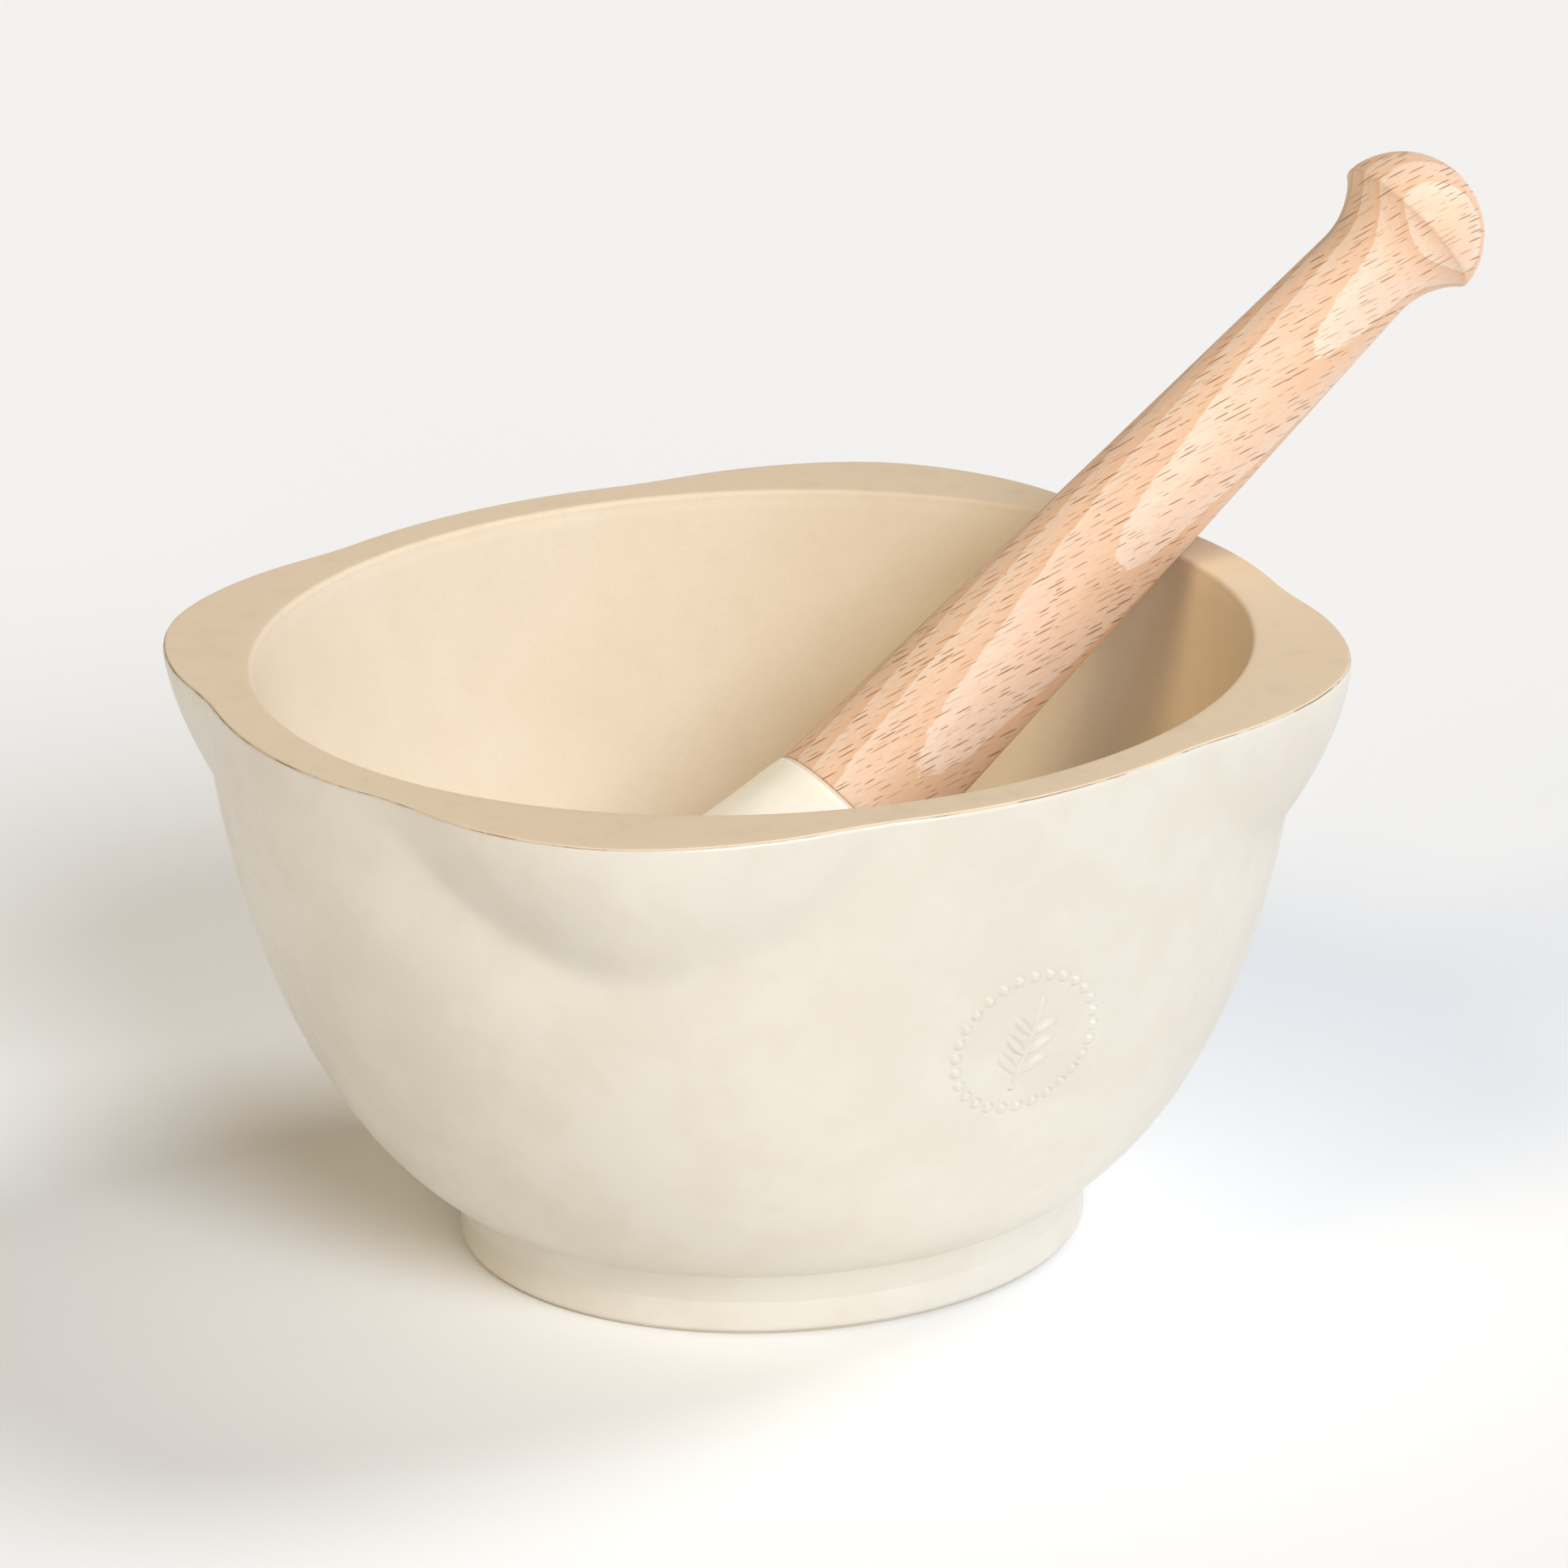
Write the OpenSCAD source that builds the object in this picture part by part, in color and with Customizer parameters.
// Mortar and pestle: a heavy footed bowl with four blunt pouring lips, glazed on the outside
// and bare inside, and a turned wooden handle bonded into a pear-shaped ceramic head.
// Millimetres. The origin is the centre of the foot's standing face, and the mortar stands on
// Z = 0 with its mouth up. The pestle rests in the mortar: its head on the bowl's floor and its
// handle on the mouth's inner edge.

/* [Mortar] */
// Inner diameter of the mouth
mouth_d = 176; // [170:0.5:182]
// Height from the table to the rim
mortar_h = 108.6; // [104:0.1:114]
// Diameter of the foot
foot_d = 111.4; // [100:0.2:116]
// Height of the foot's band
foot_h = 10; // [8:0.5:12]
// Width of the flat rim midway between two lips
rim_w = 9; // [7:0.1:12]
// How far each pouring lip stands out from the round of the bowl
lip_reach = 9.7; // [6:0.1:14]
// Half the width of a lip, in degrees round the rim
lip_w = 25; // [15:0.5:29]
// How far below the rim the bulge of a lip begins
lip_h = 29; // [20:0.5:36]
// Number of pouring lips
lip_count = 4; // [2:1:6]
// Direction of the first lip, measured from +X
lip_angle = -13.8; // [-45:0.1:45]
// Depth of the soft hollow in the bowl's side, beside and below the front lip
press_d = 2.2; // [0:0.1:3]
// Thickness of the floor under the middle of the bowl
floor_t = 12; // [9:0.5:16]
// Depth of the shallow recess inside the foot ring
recess_h = 5; // [2:0.5:6]
// Width of the foot ring
foot_ring_w = 11; // [7:0.5:20]
// Thickness of the glaze coat
glaze_t = 0.4; // [0.3:0.05:0.8]

/* [Pestle] */
// Diameter where the head and the handle meet
seam_d = 28.4; // [26:0.2:32]
// Largest diameter of the head
head_d = 44; // [38:0.5:44]
// Length of the head below the seam
head_l = 73; // [66:0.2:73]
// Diameter of the handle's thin end, just under the knob
neck_d = 19.4; // [18:0.2:22]
// Distance from the seam to the knob's brim
brim_z = 149.4; // [140:0.2:160]
// Diameter of the knob's brim
brim_d = 29.8; // [27:0.2:32]
// Height of the knob's dome above its brim
dome_h = 13.2; // [10:0.2:14]
// Diameter of the tenon turned on the handle
tenon_d = 16; // [12:0.5:18]
// Length of the tenon
tenon_l = 30; // [20:1:36]
// Gap between the tenon and its socket, which the bond ring fills
bond_gap = 0.4; // [0.3:0.05:0.6]

/* [Pose of the pestle] */
// Lean of the pestle from upright
lean = 53.4; // [50:0.1:55]
// Direction in which the handle leans, measured from +X
lean_azimuth = 27.1; // [0:0.1:60]
// X of the point where the pestle's axis crosses the plane of the mouth
cross_x = 58.8; // [56:0.1:60]
// Y of the point where the pestle's axis crosses the plane of the mouth
cross_y = 35.6; // [33:0.1:37]
// Distance along the axis from that point down to the seam
seam_drop = 61.5; // [60:0.1:75]

/* [Hidden] */
$fn = 96;

// Mortar
mouth_r = mouth_d / 2;
foot_r = foot_d / 2;
rim_r = mouth_r + rim_w;
recess_r = foot_r - foot_ring_w;
bowl_floor_z = recess_h + floor_t;
foot_round = 1.2;
edge_out_r = 0.5;
edge_in_r = 1.2;
bowl_start_r = foot_r + 2.3;
press_across = 25;
press_below = 21.5;
press_tilt = -20;
press_half_l = 18.5;
press_half_w = 10.5;
around = 72;
rows = 20;
glaze_end = 0.994;

// The foot's outer side: an upright band that draws in under the bowl
cove_curve = [
    [foot_r, foot_round + 0.6],
    [foot_r - 0.4, 0.6 * foot_h],
    [bowl_start_r - 5.4, foot_h - 1.5],
    [bowl_start_r, foot_h + 1.9]
];

// The bowl's outer side midway between two lips, from the top of the foot to the rim
outer_curve = [
    [bowl_start_r, foot_h + 1.9],
    [0.971 * mouth_r, 0.271 * mortar_h],
    [1.097 * mouth_r, 0.726 * mortar_h],
    [rim_r, mortar_h]
];

// The bowl's inner side, from the middle of its floor to the mouth
inner_curve = [
    [0, bowl_floor_z],
    [0.932 * mouth_r, bowl_floor_z],
    [0.898 * mouth_r, 0.552 * mortar_h],
    [mouth_r, mortar_h]
];

// Pestle, measured along its axis from the seam: the head is below it and the handle above
seam_r = seam_d / 2;
head_r = head_d / 2;
head_wide_z = -(head_l - 0.85 * head_r);
socket_r = tenon_d / 2 + bond_gap;
socket_l = tenon_l + 1;
bond_clear = 0.05;
bond_l = tenon_l - 2;
neck_r = neck_d / 2;
neck_z = brim_z - 12.4;
brim_r = brim_d / 2;
dome_r = (pow(brim_r, 2) + pow(dome_h, 2)) / (2 * dome_h);
dome_centre_z = brim_z + dome_h - dome_r;
dome_start = acos(brim_r / dome_r);
flank_steps = 20;
glazed_steps = 12;

// A point on a cubic curve through p[0] and p[3], drawn towards p[1] and p[2]
function curve(p, t) =
    p[0] * pow(1 - t, 3) + 3 * p[1] * pow(1 - t, 2) * t + 3 * p[2] * (1 - t) * t * t + p[3] * pow(t, 3);

// The same as max(0, s), with a round from -w to w where it leaves 0
function soft_floor(s, w) = s < -w ? 0 : s > w ? s : pow(s + w, 2) / (4 * w);

// The part of the lips' reach that a direction gets: most at a lip's rounded tip, 0 between lips
function lobe(a) =
    let (turns = (a - lip_angle) * lip_count / 360)
    let (off = (turns - round(turns)) * 360 / lip_count)
    soft_floor(1 - pow(sqrt(off * off + 9) / lip_w, 1.5), 0.25);

// How far a lip moves the side outwards in direction a at height z. The bulge starts at a
// U-shaped lower edge, steeply, and is nearly upright at the rim.
function lip(a, z) =
    let (share = lobe(a))
    let (below_rim = (mortar_h - z) / (lip_h * sqrt(max(share, 0.0001))))
    lip_reach * share * soft_floor(1 - pow(below_rim, 1.6), 0.15);

// How far the soft hollow beside the front lip moves the side inwards
function press(a, z) =
    let (off = (a - lip_angle + 360 / lip_count + 540) % 360 - 180)
    let (across = off * PI / 180 * 0.98 * rim_r + press_across)
    let (up = z - mortar_h + press_below)
    let (along = (across * cos(press_tilt) + up * sin(press_tilt)) / press_half_l)
    let (over = (up * cos(press_tilt) - across * sin(press_tilt)) / press_half_w)
    press_d * exp(-along * along - over * over);

// Rows of the outer side as [radius, height], from the table to the edge of the flat rim
foot_rows = [
    for (a = [0 : 30 : 90]) [foot_r - foot_round * (1 - sin(a)), foot_round * (1 - cos(a))]
];
cove_rows = [
    for (i = [0 : 6]) curve(cove_curve, i / 7)
];
bowl_rows = [
    for (i = [0 : rows]) curve(outer_curve, glaze_end * i / rows)
];
edge_rows = [
    for (a = [45, 90])
        [rim_r - edge_out_r * (1 - cos(a)), mortar_h - edge_out_r * (1 - sin(a))]
];
side_rows = concat(foot_rows, cove_rows, bowl_rows, edge_rows);
glaze_rows = [
    for (row = concat(foot_rows, cove_rows, bowl_rows)) if (row[1] >= foot_round) row
];

// One row of points around the mortar, moved outwards by out
function ring(row, out) = [
    for (i = [0 : around - 1])
        let (a = lip_angle + 360 * i / around)
        let (r = row[0] + out + lip(a, row[1]) - press(a, row[1]))
        [r * cos(a), r * sin(a), row[1]]
];

// Triangles of the band between row j and row j + 1 of a stack of rings, facing out.
// The stack's first point is number first, and each ring has as many points as around.
function band(j, first = 0) = [
    for (i = [0 : around - 1])
        let (k = (i + 1) % around)
        let (low = first + j * around)
        let (high = low + around)
        each [[low + i, high + i, high + k], [low + i, high + k, low + k]]
];

// The same triangles facing in
function inner_band(j, first) = [
    for (t = band(j, first)) [t[0], t[2], t[1]]
];

// The triangles between two rings of one edge, whose first points are numbers a and b
function edge_band(a, b) = [
    for (i = [0 : around - 1])
        let (k = (i + 1) % around)
        each [[a + i, b + i, b + k], [a + i, b + k, a + k]]
];

// A solid through a stack of rings, closed by flat ends
module ring_solid(list) {
    last = len(list) - 1;
    polyhedron(
        points = [for (row = list) each ring(row, 0)],
        faces = concat(
            [[for (i = [0 : around - 1]) i]],
            [for (j = [0 : last - 1]) each band(j)],
            [[for (i = [around - 1 : -1 : 0]) last * around + i]]
        ),
        convexity = 4
    );
}

// A thin coat of thickness t over a stack of rings, with its inner side exactly on them
module ring_coat(list, t) {
    last = len(list) - 1;
    inner = len(list) * around;
    polyhedron(
        points = concat([for (row = list) each ring(row, t)], [for (row = list) each ring(row, 0)]),
        faces = concat(
            [for (j = [0 : last - 1]) each band(j)],
            [for (j = [0 : last - 1]) each inner_band(j, inner)],
            edge_band(inner, 0),
            edge_band(last * around, inner + last * around)
        ),
        convexity = 6
    );
}

// The hollow of the bowl, with a small round on the mouth's inner edge
module bowl_hollow() {
    steps = 28;
    mouth_edge = [
        for (a = [0 : 30 : 90])
            [mouth_r + edge_in_r * (1 - cos(a)), mortar_h - edge_in_r * (1 - sin(a))]
    ];
    rotate_extrude()
        polygon(concat(
            [for (i = [0 : steps - 1]) curve(inner_curve, i / steps)],
            mouth_edge,
            [[mouth_r + edge_in_r, mortar_h + 5], [0, mortar_h + 5]]
        ));
}

// The fired clay body: bare inside, on the rim and under the foot
module mortar_body() {
    color([0.87, 0.78, 0.66])
        difference() {
            ring_solid(side_rows);
            bowl_hollow();
            translate([0, 0, -1])
                cylinder(r = recess_r, h = recess_h + 1);
        }
}

// The glaze coat on the outside, from just above the table to just under the rim's edge
module mortar_glaze() {
    color([0.93, 0.92, 0.87])
        ring_coat(glaze_rows, glaze_t);
}

// Puts a piece drawn upright with the seam at Z = 0 into the pestle's resting pose
module on_pestle_axis() {
    translate([cross_x, cross_y, mortar_h])
        rotate([0, lean, lean_azimuth])
            translate([0, 0, -seam_drop])
                children();
}

// The head's flank, from the seam down to its widest place
head_flank = [
    [seam_r, 0],
    [seam_r + 2.6, 0.4 * head_wide_z],
    [head_r, 0.72 * head_wide_z],
    [head_r, head_wide_z]
];

// A point of the flank, from i = 0 at the seam to i = flank_steps
function flank_point(i) = curve(head_flank, i / flank_steps);

// The ceramic head, with a blind socket for the tenon
module pestle_head() {
    end_h = head_l + head_wide_z;
    flank = [for (i = [0 : flank_steps]) flank_point(i)];
    rounded_end = [
        for (a = [6 : 6 : 90]) [head_r * cos(a), head_wide_z - end_h * sin(a)]
    ];
    color([0.90, 0.84, 0.74])
        on_pestle_axis()
            difference() {
                rotate_extrude()
                    polygon(concat([[0, 0]], flank, rounded_end));
                translate([0, 0, -socket_l])
                    cylinder(r = socket_r, h = socket_l + 1);
            }
}

// The glaze coat on the upper part of the head, thinning out to nothing at its lower end
module head_glaze() {
    color([0.94, 0.93, 0.86])
        on_pestle_axis()
            rotate_extrude()
                polygon(concat(
                    [for (i = [0 : glazed_steps]) flank_point(i)],
                    [for (i = [glazed_steps - 1 : -1 : 0])
                        flank_point(i) + [glaze_t * (1 - pow(i / glazed_steps, 8)), 0]]
                ));
}

// The ring of hardened adhesive between the tenon and its socket
module tenon_bond() {
    color([0.85, 0.75, 0.5])
        on_pestle_axis()
            translate([0, 0, -1 - bond_l])
                difference() {
                    cylinder(r = socket_r - bond_clear, h = bond_l);
                    translate([0, 0, -1])
                        cylinder(r = tenon_d / 2 + bond_clear, h = bond_l + 2);
                }
}

// The turned handle: tenon, long taper, hollowed neck and domed knob
module pestle_handle() {
    neck_curve = [
        [neck_r, neck_z],
        [neck_r - 0.15, neck_z + 5.6],
        [brim_r - 2.4, brim_z - 2.6],
        [brim_r - 0.5, brim_z - 0.7]
    ];
    color([0.93, 0.76, 0.62])
        on_pestle_axis()
            union() {
                rotate_extrude()
                    polygon(concat(
                        [[0, 0], [seam_r, 0]],
                        [for (i = [0 : 12]) curve(neck_curve, i / 12)],
                        [for (a = [dome_start : (90 - dome_start) / 14 : 90.01])
                            [max(0, dome_r * cos(a)), dome_centre_z + dome_r * sin(a)]]
                    ));
                translate([0, 0, -tenon_l])
                    cylinder(r = tenon_d / 2, h = tenon_l + 1);
            }
}

mortar_body();
mortar_glaze();
pestle_head();
head_glaze();
tenon_bond();
pestle_handle();
